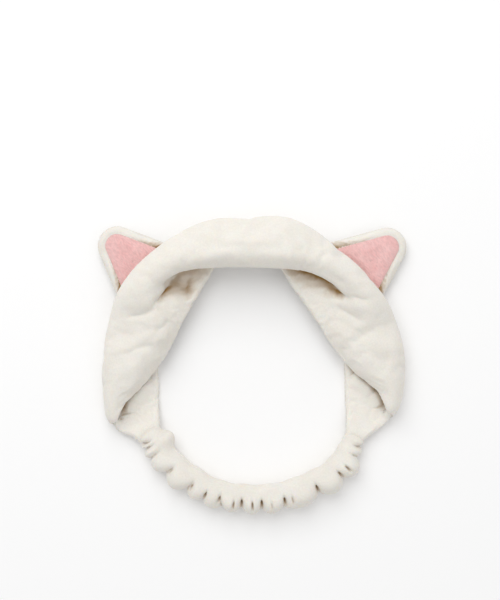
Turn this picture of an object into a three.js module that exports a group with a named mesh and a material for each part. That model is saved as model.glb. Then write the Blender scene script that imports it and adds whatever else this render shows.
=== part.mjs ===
import * as THREE from 'three';

// Animal ears headband, lying flat on a table. Millimetres: X runs across the head opening,
// Y towards the ears, Z up from the table.

// Cloth and thread
const fleeceThickness = 1.6;
const waddingThickness = 1.8;
const clearance = 0.3;
const threadRadius = 0.5;
const restHeight = clearance * 1.5 + waddingThickness / 2 + fleeceThickness;

// Ears
const earBaseHalf = 32;
const earHeight = 52;
const earTipRadius = 14.6;
const earBaseCut = 3;
const earBaseHollow = 4.5;      // the base is cut hollow to fit the round of the band
const earStuffingHalf = 1;
const earDome = 2;              // how much the ear is plumper in its middle
const earRim = 6.3;             // white border round the pink patch
const earPatchThickness = 0.9;
const earPlaces = {
  left: { base: [-74, 64.4, 7], turn: 46 },
  right: { base: [73.4, 66, 7], turn: -51.4 },
};

// Gathered casing and its elastic
const casingRadius = 10;
const casingEndRadius = 7.6;
const casingLobe = 1.4;
const casingLobes = 13;
const casingBore = 5.6;
const elasticWidth = 9;
const elasticThickness = 1;
const elasticInsert = 6;        // length of elastic sewn into each end of the band

// Colours
const offWhite = 0xf0ece6;
const liningWhite = 0xece7df;
const blushPink = 0xe9b9b8;
const waddingWhite = 0xf7f6f2;
const threadWhite = 0xe4ded2;
const elasticWhite = 0xf4f4f2;

// The band is cut wide over the head and narrow at its ends, and lies folded along its length.
// Each place along it gives the back edge, the fold and the front edge, and the crest is how
// high the front half stands before it drops to its edge. Over the head the front half also
// has a pleat: its ridge, its roll and the tuck beneath.
const bandPlaces = [
  { back: [-68.6, -46.1, 8], fold: [-75.4, -53.2, 8], edge: [-81.8, -59.6, 8] },
  { back: [-69.4, -39, 8], fold: [-81, -48.4, 8], edge: [-88.9, -54, 8] },
  { back: [-69.8, -31.5, 5], fold: [-91, -44.8, 5], edge: [-99.4, -49.6, 7] },
  { back: [-69.9, -28, 4], fold: [-98, -43, 5], edge: [-102, -45.8, 10] },
  { back: [-70, -24, restHeight], fold: [-104.5, -40, 6], edge: [-100, -39.5, 16] },
  { back: [-69.8, -15, restHeight], fold: [-107.6, -27, 9], edge: [-94, -27.4, 15], crest: 20 },
  { back: [-70.5, -3.8, restHeight], fold: [-108.8, -9, 12], edge: [-79.9, -12, 12], crest: 23 },
  { back: [-67.5, 12, restHeight], fold: [-107.6, 10.5, 14], edge: [-64.1, 9, 11.5], crest: 25.5 },
  { back: [-60, 32.3, restHeight], fold: [-103.1, 32.3, 17], edge: [-52.5, 31.1, 13], crest: 26 },
  {
    back: [-49, 52, restHeight], fold: [-95.3, 55.5, 21], edge: [-43.5, 46.5, 16], lean: 0.9,
    pleat: [[-88.5, 54.8, 31], [-78, 55.5, 33], [-68.3, 51.8, 24]],
  },
  {
    back: [-32, 74, restHeight], fold: [-73.5, 80.6, 25], edge: [-31.5, 66.4, 14], lean: 0.7,
    pleat: [[-63, 75, 38], [-55.5, 70.9, 34], [-58.5, 73.5, 22]],
  },
  {
    back: [-14, 80, restHeight], fold: [-33.8, 104.3, 26], edge: [-23.3, 78.8, 16.5], lean: 0.57,
    pleat: [[-27.8, 84, 43], [-25.5, 76.1, 34], [-26.3, 81, 24]],
  },
  {
    back: [0, 80, restHeight], fold: [-0.8, 108, 26], edge: [-0.8, 82.5, 16.5], lean: 0.57,
    pleat: [[-0.8, 85.5, 43], [-0.8, 76.5, 34], [-0.8, 84, 24]],
  },
  {
    back: [13, 80, restHeight], fold: [29.3, 106.5, 26], edge: [17.3, 78, 16.5], lean: 0.57,
    pleat: [[22.5, 84.4, 43], [19.5, 75.4, 34], [21, 81, 24]],
  },
  {
    back: [34, 70, restHeight], fold: [70.5, 78.8, 25], edge: [30.8, 59.3, 14], lean: 0.68,
    pleat: [[55.5, 74.3, 39], [48.8, 65.3, 33], [51.8, 70.5, 21]],
  },
  {
    back: [53, 44, restHeight], fold: [97.5, 48, 20], edge: [46.5, 37.5, 16], lean: 1.02,
    pleat: [[87, 52.1, 33], [76.5, 50.3, 31], [70.5, 50.3, 24]],
  },
  { back: [63, 21, restHeight], fold: [105.8, 30.8, 16], edge: [55.9, 24, 13], crest: 25.5 },
  { back: [69, 9, restHeight], fold: [111.4, 12, 14], edge: [64.1, 12, 12], crest: 25 },
  { back: [70.9, -3, restHeight], fold: [112.5, -3.8, 12], edge: [75.8, -1.5, 12], crest: 23 },
  { back: [71.3, -15, restHeight], fold: [111.4, -20.3, 9.5], edge: [94.5, -18.4, 15.5], crest: 20.5 },
  { back: [71.6, -25.5, restHeight], fold: [107.5, -32.5, 6.5], edge: [101, -31.5, 17] },
  { back: [71.8, -30.5, 4], fold: [100.5, -38, 5], edge: [104.4, -39.6, 10] },
  { back: [72, -34.5, 5], fold: [93, -42.5, 5], edge: [101.5, -43.5, 7.5] },
  { back: [72, -43.5, 8], fold: [82.5, -50.3, 8], edge: [90.4, -52.1, 8] },
  { back: [71.6, -52.5, 8], fold: [75.8, -55.1, 8], edge: [81.8, -59.3, 8] },
];
const bandSteps = 48;
const bandAcross = 15;

// Middle line of the casing, from the left end of the band to the right one
const casingPath = [
  [-73.8, -55.4, 8], [-69.5, -60.5, 8.4], [-63.5, -68.5, 9.8], [-52, -79.8, 10.4],
  [-33, -91, 10.5], [-11.3, -98.2, 10.5], [12.8, -97.8, 10.5], [36.8, -92.5, 10.5],
  [55, -84, 10.4], [67.5, -73.2, 9.8], [73.4, -65, 8.4], [75.8, -59.6, 8],
].map((place) => new THREE.Vector3(...place));

// ---------------------------------------------------------------- mesh helpers

function clothMaterial(color, roughness = 0.95) {
  return new THREE.MeshStandardMaterial({ color, roughness, metalness: 0 });
}

function makeMesh(name, geometry, material) {
  const mesh = new THREE.Mesh(geometry, material);
  mesh.name = name;
  return mesh;
}

function signedVolume(points, triangles) {
  const cross = new THREE.Vector3();
  return triangles.reduce((sum, [a, b, c]) => {
    cross.crossVectors(points[b], points[c]);
    return sum + points[a].dot(cross) / 6;
  }, 0);
}

function closedGeometry(points, triangles) {
  const outward = signedVolume(points, triangles) > 0;
  const indices = triangles.flatMap(([a, b, c]) => (outward ? [a, b, c] : [a, c, b]));
  const geometry = new THREE.BufferGeometry();
  const positions = points.flatMap((point) => point.toArray());
  geometry.setAttribute('position', new THREE.Float32BufferAttribute(positions, 3));
  geometry.setIndex(indices);
  return geometry;
}

function averagePoint(points) {
  return points.reduce((sum, point) => sum.add(point), new THREE.Vector3())
    .divideScalar(points.length);
}

// Rows of points joined into a skin. Rows close round on themselves, and the last row joins
// the first one where the shape is a ring, or both ends get a cap round a middle point.
function skinRings(rings, endless = false) {
  const count = rings[0].length;
  const points = [...rings.flat(), averagePoint(rings[0]), averagePoint(rings.at(-1))];
  const triangles = [];
  const rows = endless ? rings.length : rings.length - 1;
  for (let row = 0; row < rows; row += 1) {
    const next = (row + 1) % rings.length;
    for (let side = 0; side < count; side += 1) {
      const other = (side + 1) % count;
      const corner = [row * count + side, row * count + other];
      const far = [next * count + side, next * count + other];
      triangles.push([corner[0], corner[1], far[1]], [corner[0], far[1], far[0]]);
    }
  }
  if (!endless) {
    const last = (rings.length - 1) * count;
    const middle = rings.length * count;
    for (let side = 0; side < count; side += 1) {
      const other = (side + 1) % count;
      triangles.push([middle, other, side], [middle + 1, last + side, last + other]);
    }
  }
  return closedGeometry(endless ? rings.flat() : points, triangles);
}

// A sheet between two grids of points with the same rows and columns
function skinSheet(upper, lower) {
  const rings = upper.map((row, index) => [...row, ...[...lower[index]].reverse()]);
  const width = upper[0].length;
  const count = width * 2;
  const points = rings.flat();
  const triangles = [];
  for (let row = 0; row < rings.length - 1; row += 1) {
    for (let side = 0; side < count; side += 1) {
      const other = (side + 1) % count;
      const near = [row * count + side, row * count + other];
      const far = [near[0] + count, near[1] + count];
      const straight = side < width;
      triangles.push(...(straight
        ? [[near[0], near[1], far[1]], [near[0], far[1], far[0]]]
        : [[near[0], near[1], far[0]], [near[1], far[1], far[0]]]));
    }
  }
  [0, (rings.length - 1) * count].forEach((start, end) => {
    for (let side = 0; side < width - 1; side += 1) {
      const a = start + side;
      const b = start + count - 1 - side;
      const cap = [[a, b, a + 1], [a + 1, b, b - 1]];
      triangles.push(...cap.map(([p, q, r]) => (end ? [p, r, q] : [p, q, r])));
    }
  });
  return closedGeometry(points, triangles);
}

function threadAlong(points, steps) {
  const outline = new THREE.Shape().absarc(0, 0, threadRadius, 0, Math.PI * 2);
  return new THREE.ExtrudeGeometry(outline, {
    steps,
    bevelEnabled: false,
    curveSegments: 3,
    extrudePath: new THREE.CatmullRomCurve3(points),
  });
}

// ---------------------------------------------------------------- band

function blendPoint(from, to, share, height) {
  const point = new THREE.Vector3().lerpVectors(from, to, share);
  point.z = height;
  return point;
}

// The nine rails of the band's cross-section at one place, from its back edge to its front
function sectionRails(place) {
  const back = new THREE.Vector3(...place.back);
  const fold = new THREE.Vector3(...place.fold);
  const edge = new THREE.Vector3(...place.edge);
  const span = Math.hypot(fold.x - back.x, fold.y - back.y);
  const rise = fold.z - back.z;
  const lift = (place.crest ?? edge.z) - fold.z;
  const shoulderInset = (place.lean ?? 0.35) * rise;
  const seatInset = Math.max(1.05 * rise, 0.25 * span);
  const rails = [
    back,
    blendPoint(back, fold, 0.5 * (1 - seatInset / span), back.z),
    blendPoint(back, fold, 1 - seatInset / span, back.z),
    blendPoint(back, fold, 1 - Math.max(shoulderInset / span, 0.12), back.z + 0.3 * rise),
    fold,
  ];
  if (place.pleat) {
    rails.push(...place.pleat.map((point) => new THREE.Vector3(...point)));
  } else {
    const doubled = THREE.MathUtils.smoothstep(lift, 4, 11);
    [[0.12, 0.7], [0.4, 1.05], [0.7, place.crest ? 0.88 : 1.08]].forEach(([share, climb]) => {
      const height = fold.z + lift * THREE.MathUtils.lerp(share, climb, doubled);
      rails.push(blendPoint(fold, edge, share, height));
    });
  }
  return [...rails, edge];
}

// Middle surface of the band as rows of points, with the direction that faces outwards
function bandSurface() {
  const sections = bandPlaces.map(sectionRails);
  const rails = sections[0].map((_, index) => (
    new THREE.CatmullRomCurve3(sections.map((section) => section[index]))));
  const points = [];
  for (let step = 0; step <= bandSteps; step += 1) {
    const section = rails.map((rail) => rail.getPoint(step / bandSteps));
    const curve = new THREE.CatmullRomCurve3(section);
    const row = range(0, bandAcross).map((across) => curve.getPointAt(across / bandAcross));
    row.forEach((point) => point.setZ(Math.max(point.z, restHeight)));
    points.push(row);
  }
  const normals = points.map((row, step) => row.map((_, across) => {
    const before = points[Math.max(step - 1, 0)][across];
    const after = points[Math.min(step + 1, bandSteps)][across];
    const inner = row[Math.max(across - 1, 0)];
    const outer = row[Math.min(across + 1, bandAcross)];
    const alongBand = after.clone().sub(before);
    const acrossBand = outer.clone().sub(inner);
    return acrossBand.cross(alongBand).normalize();
  }));
  return { points, normals };
}

// The panels close on each other at the band's long edges
function closing(across) {
  const share = Math.abs((2 * across) / bandAcross - 1);
  return 1 - share ** 8;
}

function layerGrid(surface, steps, columns, distance) {
  return steps.map((step) => columns.map((across) => {
    const offset = distance(across);
    return surface.points[step][across].clone().addScaledVector(surface.normals[step][across], offset);
  }));
}

function range(first, last) {
  return Array.from({ length: last - first + 1 }, (_, index) => first + index);
}

function bandLayer(name, surface, steps, columns, near, far, material) {
  const upper = layerGrid(surface, steps, columns, far);
  const lower = layerGrid(surface, steps, columns, near);
  return makeMesh(name, skinSheet(upper, lower), material);
}

function edgeThread(name, surface, across, neighbour) {
  const standOff = threadRadius + clearance + 0.5;
  const last = surface.points.length - 1;
  const path = surface.points.map((row, step) => {
    const before = surface.points[Math.max(step - 1, 0)][across];
    const tangent = surface.points[Math.min(step + 1, last)][across].clone().sub(before).normalize();
    const outwards = row[across].clone().sub(row[neighbour]);
    outwards.addScaledVector(tangent, -outwards.dot(tangent)).normalize();
    return row[across].clone().addScaledVector(outwards, standOff);
  });
  return makeMesh(name, threadAlong(path, bandSteps), clothMaterial(threadWhite));
}

function band(surface) {
  const inside = (across) => clearance / 2 + (waddingThickness / 2 + clearance) * closing(across);
  const outside = (across) => inside(across) + fleeceThickness;
  const steps = range(0, bandSteps);
  const columns = range(0, bandAcross);
  const wadding = (side) => (across) => (side * closing(across) * waddingThickness) / 2;
  return [
    bandLayer('band_outer_panel', surface, steps, columns, inside, outside, clothMaterial(offWhite)),
    bandLayer('band_lining_panel', surface, steps, columns, (across) => -outside(across),
      (across) => -inside(across), clothMaterial(liningWhite)),
    bandLayer('band_wadding', surface, range(2, bandSteps - 2), range(1, bandAcross - 1),
      wadding(-1), wadding(1), clothMaterial(waddingWhite)),
    edgeThread('band_back_edge_seam', surface, 0, 1),
    edgeThread('band_front_edge_seam', surface, bandAcross, bandAcross - 1),
  ];
}

// ---------------------------------------------------------------- ears

// Outline of an ear, or of a smaller piece inside it, counter-clockwise from the right corner
function earOutline(inset, baseInset) {
  const centreHeight = earHeight - earTipRadius;
  const reach = Math.hypot(earBaseHalf, centreHeight);
  const lean = Math.acos(earTipRadius / reach) - Math.atan2(centreHeight, earBaseHalf);
  const radius = earTipRadius - inset;
  const tangent = new THREE.Vector2(Math.cos(lean) * radius, centreHeight + Math.sin(lean) * radius);
  const sideSlope = Math.tan(lean);
  const halfBase = tangent.x + (tangent.y - baseInset) * sideSlope;
  const corner = new THREE.Vector2(halfBase, baseInset);
  const side = [0, 0.28, 0.52, 0.76].map((share) => corner.clone().lerp(tangent, share));
  const arc = [0, 0.2, 0.4, 0.6, 0.8, 1].map((share) => {
    const angle = lean + (Math.PI - 2 * lean) * share;
    return new THREE.Vector2(Math.cos(angle) * radius, centreHeight + Math.sin(angle) * radius);
  });
  const mirrored = [...side].reverse().map((point) => new THREE.Vector2(-point.x, point.y));
  const base = [-0.6, -0.2, 0.2, 0.6].map((share) => (
    new THREE.Vector2(share * halfBase, baseInset + earBaseHollow * (1 - share ** 2))));
  return [...side, ...arc, ...mirrored, ...base];
}

function domeHeight(point) {
  const across = point.x / (earBaseHalf + 4);
  const up = (point.y - 20) / (earHeight - 14);
  return earDome * Math.max(0, 1 - across ** 2 - up ** 2);
}

// A plate of the given outline whose two faces follow the ear's dome
function domedPlate(outline, lowFace, highFace) {
  const middle = outline.reduce((sum, point) => sum.add(point), new THREE.Vector2());
  middle.divideScalar(outline.length);
  const ringAt = (share, face) => outline.map((point) => {
    const place = point.clone().lerp(middle, share);
    return new THREE.Vector3(place.x, place.y, face(place));
  });
  const shares = [0.7, 0.35, 0];
  const below = shares.map((share) => ringAt(share, lowFace));
  const above = [...shares].reverse().map((share) => ringAt(share, highFace));
  return skinRings([...below, ...above]);
}

function ear(side) {
  const panelNear = earStuffingHalf + clearance;
  const panelFar = panelNear + fleeceThickness - 0.2;
  const patchNear = panelFar + clearance;
  const patchFar = patchNear + earPatchThickness;
  const raised = (offset) => (point) => offset + domeHeight(point);
  const sunk = (offset) => (point) => -offset - domeHeight(point);
  const whole = earOutline(0, earBaseCut);
  const patch = earOutline(earRim, earBaseCut + 2);
  const onDome = (point, offset) => new THREE.Vector3(point.x, point.y, offset + domeHeight(point));
  const rimPath = earOutline(1.2, earBaseCut + 1).slice(0, 14).map((point) => new THREE.Vector3(point.x, point.y, 0));
  const patchPath = earOutline(earRim - 0.9, earBaseCut + 2).slice(0, 14)
    .map((point) => onDome(point, panelFar + clearance + threadRadius));
  const basePath = [-0.85, -0.45, 0, 0.45, 0.85].map((share) => new THREE.Vector3(
    share * earBaseHalf,
    earBaseCut + earBaseHollow * (1 - share ** 2) - clearance - threadRadius - 0.2, 0));
  const thread = clothMaterial(threadWhite);
  const pieces = [
    makeMesh(`${side}_ear_back_panel`, domedPlate(whole, sunk(panelFar), sunk(panelNear)),
      clothMaterial(offWhite)),
    makeMesh(`${side}_ear_stuffing`, domedPlate(earOutline(2.6, earBaseCut + 1), sunk(earStuffingHalf),
      raised(earStuffingHalf)), clothMaterial(waddingWhite)),
    makeMesh(`${side}_ear_front_panel`, domedPlate(whole, raised(panelNear), raised(panelFar)),
      clothMaterial(offWhite)),
    makeMesh(`${side}_ear_inner_patch`, domedPlate(patch, raised(patchNear), raised(patchFar)),
      clothMaterial(blushPink)),
    makeMesh(`${side}_ear_rim_seam`, threadAlong(rimPath, 20), thread.clone()),
    makeMesh(`${side}_ear_patch_stitching`, threadAlong(patchPath, 20), thread.clone()),
    makeMesh(`${side}_ear_base_seam`, threadAlong(basePath, 8), thread.clone()),
  ];
  const group = new THREE.Group().add(...pieces);
  group.position.set(...earPlaces[side].base);
  group.rotation.z = THREE.MathUtils.degToRad(earPlaces[side].turn);
  return group;
}

// ---------------------------------------------------------------- elastic back

// A cross-section of the casing: outwards is away from the head opening, up is +Z
function casingFrame(curve, share) {
  const centre = curve.getPointAt(share);
  const tangent = curve.getTangentAt(share);
  const outwards = new THREE.Vector3(tangent.y, -tangent.x, 0).normalize();
  const up = new THREE.Vector3().crossVectors(outwards, tangent).normalize();
  return { centre, outwards, up: up.z < 0 ? up.negate() : up };
}

function ringAt(frame, sides, radiusAt) {
  return Array.from({ length: sides }, (_, index) => {
    const angle = (index / sides) * Math.PI * 2;
    const radius = radiusAt(angle);
    return frame.centre.clone()
      .addScaledVector(frame.outwards, radius * Math.cos(angle))
      .addScaledVector(frame.up, radius * Math.sin(angle));
  });
}

function casingRadiusAt(share) {
  const fromEnd = Math.min(share, 1 - share);
  const body = THREE.MathUtils.smoothstep(fromEnd, 0, 0.14);
  return THREE.MathUtils.lerp(casingEndRadius, casingRadius, body);
}

// The gathers stand out most on the side away from the head
function gatheredRadius(share) {
  const swell = Math.abs(Math.sin(share * casingLobes * Math.PI)) - 0.5;
  return (angle) => casingRadiusAt(share) + casingLobe * swell * (0.6 + 0.4 * Math.cos(angle));
}

function casing(curve) {
  const outer = range(0, casingLobes * 3).map((step) => {
    const share = step / (casingLobes * 3);
    return ringAt(casingFrame(curve, share), 10, gatheredRadius(share));
  });
  const inner = range(0, casingLobes).map((step) => (
    ringAt(casingFrame(curve, 1 - step / casingLobes), 10, () => casingBore)));
  return makeMesh('elastic_casing', skinRings([...outer, ...inner], true), clothMaterial(offWhite));
}

function rectangleRing(frame, halfWidth, halfThickness) {
  return [[1, 1], [-1, 1], [-1, -1], [1, -1]].map(([x, y]) => frame.centre.clone()
    .addScaledVector(frame.outwards, x * halfWidth)
    .addScaledVector(frame.up, y * halfThickness));
}

function elasticStrip(curve) {
  const shift = (frame, distance, tangent) => ({
    ...frame, centre: frame.centre.clone().addScaledVector(tangent, distance),
  });
  const level = new THREE.Vector3(1, 1, 0);
  const first = casingFrame(curve, 0);
  const last = casingFrame(curve, 1);
  const start = curve.getTangentAt(0).multiply(level).normalize();
  const finish = curve.getTangentAt(1).multiply(level).normalize();
  const frames = [
    shift(first, -elasticInsert, start),
    ...range(0, 26).map((step) => casingFrame(curve, step / 26)),
    shift(last, elasticInsert, finish),
  ];
  const rings = frames.map((frame) => rectangleRing(frame, elasticWidth / 2, elasticThickness / 2));
  return makeMesh('elastic_strip', skinRings(rings), clothMaterial(elasticWhite, 0.8));
}

function casingSeam(curve) {
  const drop = casingBore * 0.95 - threadRadius - clearance;
  const path = range(1, 19).map((step) => {
    const frame = casingFrame(curve, step / 20);
    return frame.centre.clone().addScaledVector(frame.up, -drop);
  });
  return makeMesh('casing_lengthwise_seam', threadAlong(path, 36), clothMaterial(threadWhite));
}

// Row of stitches across the joint between the casing and one end of the band
function endStitches(name, curve, share) {
  const frame = casingFrame(curve, share);
  const tangent = curve.getTangentAt(share).multiplyScalar(share ? 1 : -1);
  const centre = frame.centre.clone().addScaledVector(tangent, 1);
  centre.z += elasticThickness / 2 + clearance + threadRadius + 0.2;
  const path = [-8, -3, 3, 8].map((across) => centre.clone().addScaledVector(frame.outwards, across));
  return makeMesh(name, threadAlong(path, 6), clothMaterial(threadWhite));
}

// ---------------------------------------------------------------- whole headband

const surface = bandSurface();
const casingCurve = new THREE.CatmullRomCurve3(casingPath);

const headband = new THREE.Group();
headband.add(...band(surface));
headband.add(ear('left'), ear('right'));
headband.add(casing(casingCurve), elasticStrip(casingCurve), casingSeam(casingCurve));
headband.add(endStitches('left_end_stitches', casingCurve, 0));
headband.add(endStitches('right_end_stitches', casingCurve, 1));

export default headband;
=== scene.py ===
import math
import bpy
import numpy as np
from mathutils import Matrix, Vector
from mathutils.bvhtree import BVHTree


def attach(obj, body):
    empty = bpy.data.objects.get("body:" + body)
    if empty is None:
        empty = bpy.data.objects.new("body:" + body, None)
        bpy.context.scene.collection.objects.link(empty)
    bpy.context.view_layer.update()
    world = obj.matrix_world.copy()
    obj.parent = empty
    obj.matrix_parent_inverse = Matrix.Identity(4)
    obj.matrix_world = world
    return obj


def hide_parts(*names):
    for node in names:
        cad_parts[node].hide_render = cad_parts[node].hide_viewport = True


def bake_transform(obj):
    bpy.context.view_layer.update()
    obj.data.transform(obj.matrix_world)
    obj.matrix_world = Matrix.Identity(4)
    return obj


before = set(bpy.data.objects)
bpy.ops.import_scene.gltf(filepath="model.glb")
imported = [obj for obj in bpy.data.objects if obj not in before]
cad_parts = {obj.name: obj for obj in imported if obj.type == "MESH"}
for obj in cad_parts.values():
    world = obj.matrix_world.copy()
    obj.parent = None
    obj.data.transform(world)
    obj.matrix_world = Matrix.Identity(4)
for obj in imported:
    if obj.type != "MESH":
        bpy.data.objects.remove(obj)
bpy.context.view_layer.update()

# Animal ears headband lying flat. Lengths in the dictionaries are millimetres; X runs across
# the head opening, Y towards the ears, Z up from the table.

mm = 0.001


# small tools

def hexToLinear(code):
    parts = [int(code[at:at + 2], 16) / 255 for at in (1, 3, 5)]
    return [p / 12.92 if p <= 0.04045 else ((p + 0.055) / 1.055) ** 2.4 for p in parts] + [1.0]


def addNode(tree, kind, settings=None, inputs=None):
    # a value goes on the socket itself, and another node's socket is linked
    node = tree.nodes.new(kind)
    for name, value in (settings or {}).items():
        setattr(node, name, value)
    for name, value in (inputs or {}).items():
        if isinstance(value, bpy.types.NodeSocket):
            tree.links.new(value, node.inputs[name])
        else:
            node.inputs[name].default_value = value
    return node


def smooth(values, low, high):
    t = np.clip((np.asarray(values, float) - low) / (high - low), 0, 1)
    return t * t * (3 - 2 * t)


def splineAt(points, shares):
    # a centripetal spline through the points, the same number of shares between each two
    points = np.asarray(points, float)
    ends = [2 * points[0] - points[1], 2 * points[-1] - points[-2]]
    knots = np.vstack([ends[:1], points, ends[1:]])
    place = np.clip(np.asarray(shares, float), 0, 1) * (len(points) - 1)
    index = np.minimum(place.astype(int), len(points) - 2)
    w = (place - index)[:, None]
    a, b, c, d = (knots[index + step] for step in range(4))
    spans = ((a, b), (b, c), (c, d))
    gap = [np.sqrt(np.linalg.norm(q - p, axis=1, keepdims=True)) for p, q in spans]
    mid = np.where(gap[1] < 1e-4, 1, gap[1])
    before = np.where(gap[0] < 1e-4, mid, gap[0])
    after = np.where(gap[2] < 1e-4, mid, gap[2])
    leave = ((b - a) / before - (c - a) / (before + mid) + (c - b) / mid) * mid
    arrive = ((c - b) / mid - (d - b) / (mid + after) + (d - c) / after) * mid
    square, cube = 3 * (c - b) - 2 * leave - arrive, 2 * (b - c) + leave + arrive
    return b + leave * w + square * w ** 2 + cube * w ** 3


def lengthAlong(path):
    return np.concatenate([[0], np.cumsum(np.linalg.norm(np.diff(path, axis=0), axis=1))])


def splineEvenly(points, shares):
    fine = np.linspace(0, 1, 241)
    length = lengthAlong(splineAt(points, fine))
    return splineAt(points, np.interp(np.asarray(shares) * length[-1], length, fine))


def gridFaces(rows, columns, closed=False, start=0):
    # quads between rows of points; a closed grid joins each row's last point to its first
    wide = columns if closed else columns - 1
    r, c = np.meshgrid(np.arange(rows - 1), np.arange(wide), indexing="ij")
    here, side = r * columns + c, r * columns + (c + 1) % columns
    quads = np.stack([here, side, side + columns, here + columns], axis=-1).reshape(-1, 4) + start
    return quads.tolist()


def makePiece(name, points, faces, material=None, paintedShade=None, links=()):
    # points in millimetres; the mesh holds the piece's place, and its object stays at the origin
    mesh = bpy.data.meshes.new(name)
    mesh.from_pydata((np.asarray(points, float).reshape(-1, 3) * mm).tolist(), links, faces)
    mesh.validate()
    mesh.update()
    mesh.shade_smooth()
    piece = bpy.data.objects.new(name, mesh)
    bpy.context.scene.collection.objects.link(piece)
    if material:
        mesh.materials.append(material)
    # painted shade: how deep in the folds each point lies, kept on the mesh so the material darkens its
    # colour there
    if paintedShade is not None:
        layer = mesh.attributes.new("paintedShadeDepth", "FLOAT", "POINT")
        layer.data.foreach_set("value", np.asarray(paintedShade, np.float32).ravel())
    return piece


def pointsOf(mesh):
    found = np.zeros(len(mesh.vertices) * 3)
    mesh.vertices.foreach_get("co", found)
    return found.reshape(-1, 3) / mm


def setPoints(piece, points):
    piece.data.vertices.foreach_set("co", (np.asarray(points) * mm).ravel())
    piece.data.update()


def meshAsSeen(piece):
    graph = bpy.context.evaluated_depsgraph_get()
    return bpy.data.meshes.new_from_object(piece.evaluated_get(graph))


def keepAsSeen(piece):
    # what the modifiers make becomes the piece's own plain mesh
    made = meshAsSeen(piece)
    piece.modifiers.clear()
    old, piece.data = piece.data, made
    bpy.data.meshes.remove(old)
    made.name = piece.name
    made.shade_smooth()


def finishMesh(piece, *modifiers):
    for kind, settings in modifiers:
        modifier = piece.modifiers.new(kind.title(), kind)
        for name, value in settings.items():
            setattr(modifier, name, value)
    keepAsSeen(piece)


def settle(piece, recipe, hold):
    # cloth under slight pressure, cut a little too large, swells and buckles between its seams
    levels = np.round(np.clip(hold, 0, 1) * 20) / 20
    group = piece.vertex_groups.new(name="hold")
    for level in np.unique(levels):
        if level > 0:
            group.add(np.flatnonzero(levels == level).tolist(), float(level), "REPLACE")
    before = pointsOf(piece.data)
    cloth = piece.modifiers.new("Cloth", "CLOTH")
    settings = cloth.settings
    for name, value in recipe["cloth"].items():
        setattr(settings, name, value)
    settings.effector_weights.gravity = 0
    settings.vertex_group_mass = "hold"
    cloth.point_cache.frame_start, cloth.point_cache.frame_end = 1, recipe["frames"] + 1
    for step in range(1, recipe["frames"] + 1):
        bpy.context.scene.frame_set(step)
    made = meshAsSeen(piece)
    move = pointsOf(made) - before
    bpy.data.meshes.remove(made)
    piece.modifiers.clear()
    piece.vertex_groups.clear()
    bpy.context.scene.frame_set(1)
    far = np.linalg.norm(move, axis=1, keepdims=True)
    print(f"  {piece.name}: cloth moved {far.mean():.2f} mm, at most {far.max():.2f} mm")
    setPoints(piece, before + move * np.minimum(1, recipe["cap"] / np.maximum(far, 1e-9)))


def hemisphere(count):
    # even directions round +Z, most of them steep, as soft light falls on a surface
    at = np.arange(count) + 0.5
    lift = np.sqrt(1 - at / count)
    turn = at * math.pi * (3 - math.sqrt(5))
    flat = np.sqrt(1 - lift ** 2)
    return np.stack([np.cos(turn) * flat, np.sin(turn) * flat, lift], axis=1)


# rays that measure the painted shade in folds: how many, how far they reach, where they start, how low they
# point, and how much a far hit counts less
paintedShadeRays = {"rays": 30, "reach": 40, "start": 0.5, "lowest": -0.15, "farLoss": 0.6}


def paintedShadeDepths(points, normals, skins):
    # the amount of painted shade: 0 on an open face and up to 1 deep in a fold, from how much cloth stands
    # over each point
    vertices, faces = [], []
    for skin, closed in skins:
        faces += gridFaces(skin.shape[0], skin.shape[1], closed, len(vertices))
        vertices += skin.reshape(-1, 3).tolist()
    cloth = BVHTree.FromPolygons(vertices, faces)
    rays = hemisphere(paintedShadeRays["rays"])
    found = np.zeros(len(points))
    for index, (point, normal) in enumerate(zip(points, normals)):
        aside = np.cross(normal, (0.3, 0.9, 0.1))
        aside /= max(np.linalg.norm(aside), 1e-9)
        basis = np.stack([aside, np.cross(normal, aside), normal])
        start = Vector(point + normal * paintedShadeRays["start"])
        for ray in rays @ basis:
            if ray[2] < paintedShadeRays["lowest"]:
                continue
            hit = cloth.ray_cast(start, Vector(ray), paintedShadeRays["reach"])
            if hit[0] is not None:
                found[index] += 1 - paintedShadeRays["farLoss"] * hit[3] / paintedShadeRays["reach"]
    return found / paintedShadeRays["rays"]


# materials

def emptyMaterial(name):
    material = bpy.data.materials.new(name)
    material.use_nodes = True
    material.node_tree.nodes.clear()
    return material, material.node_tree


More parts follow.
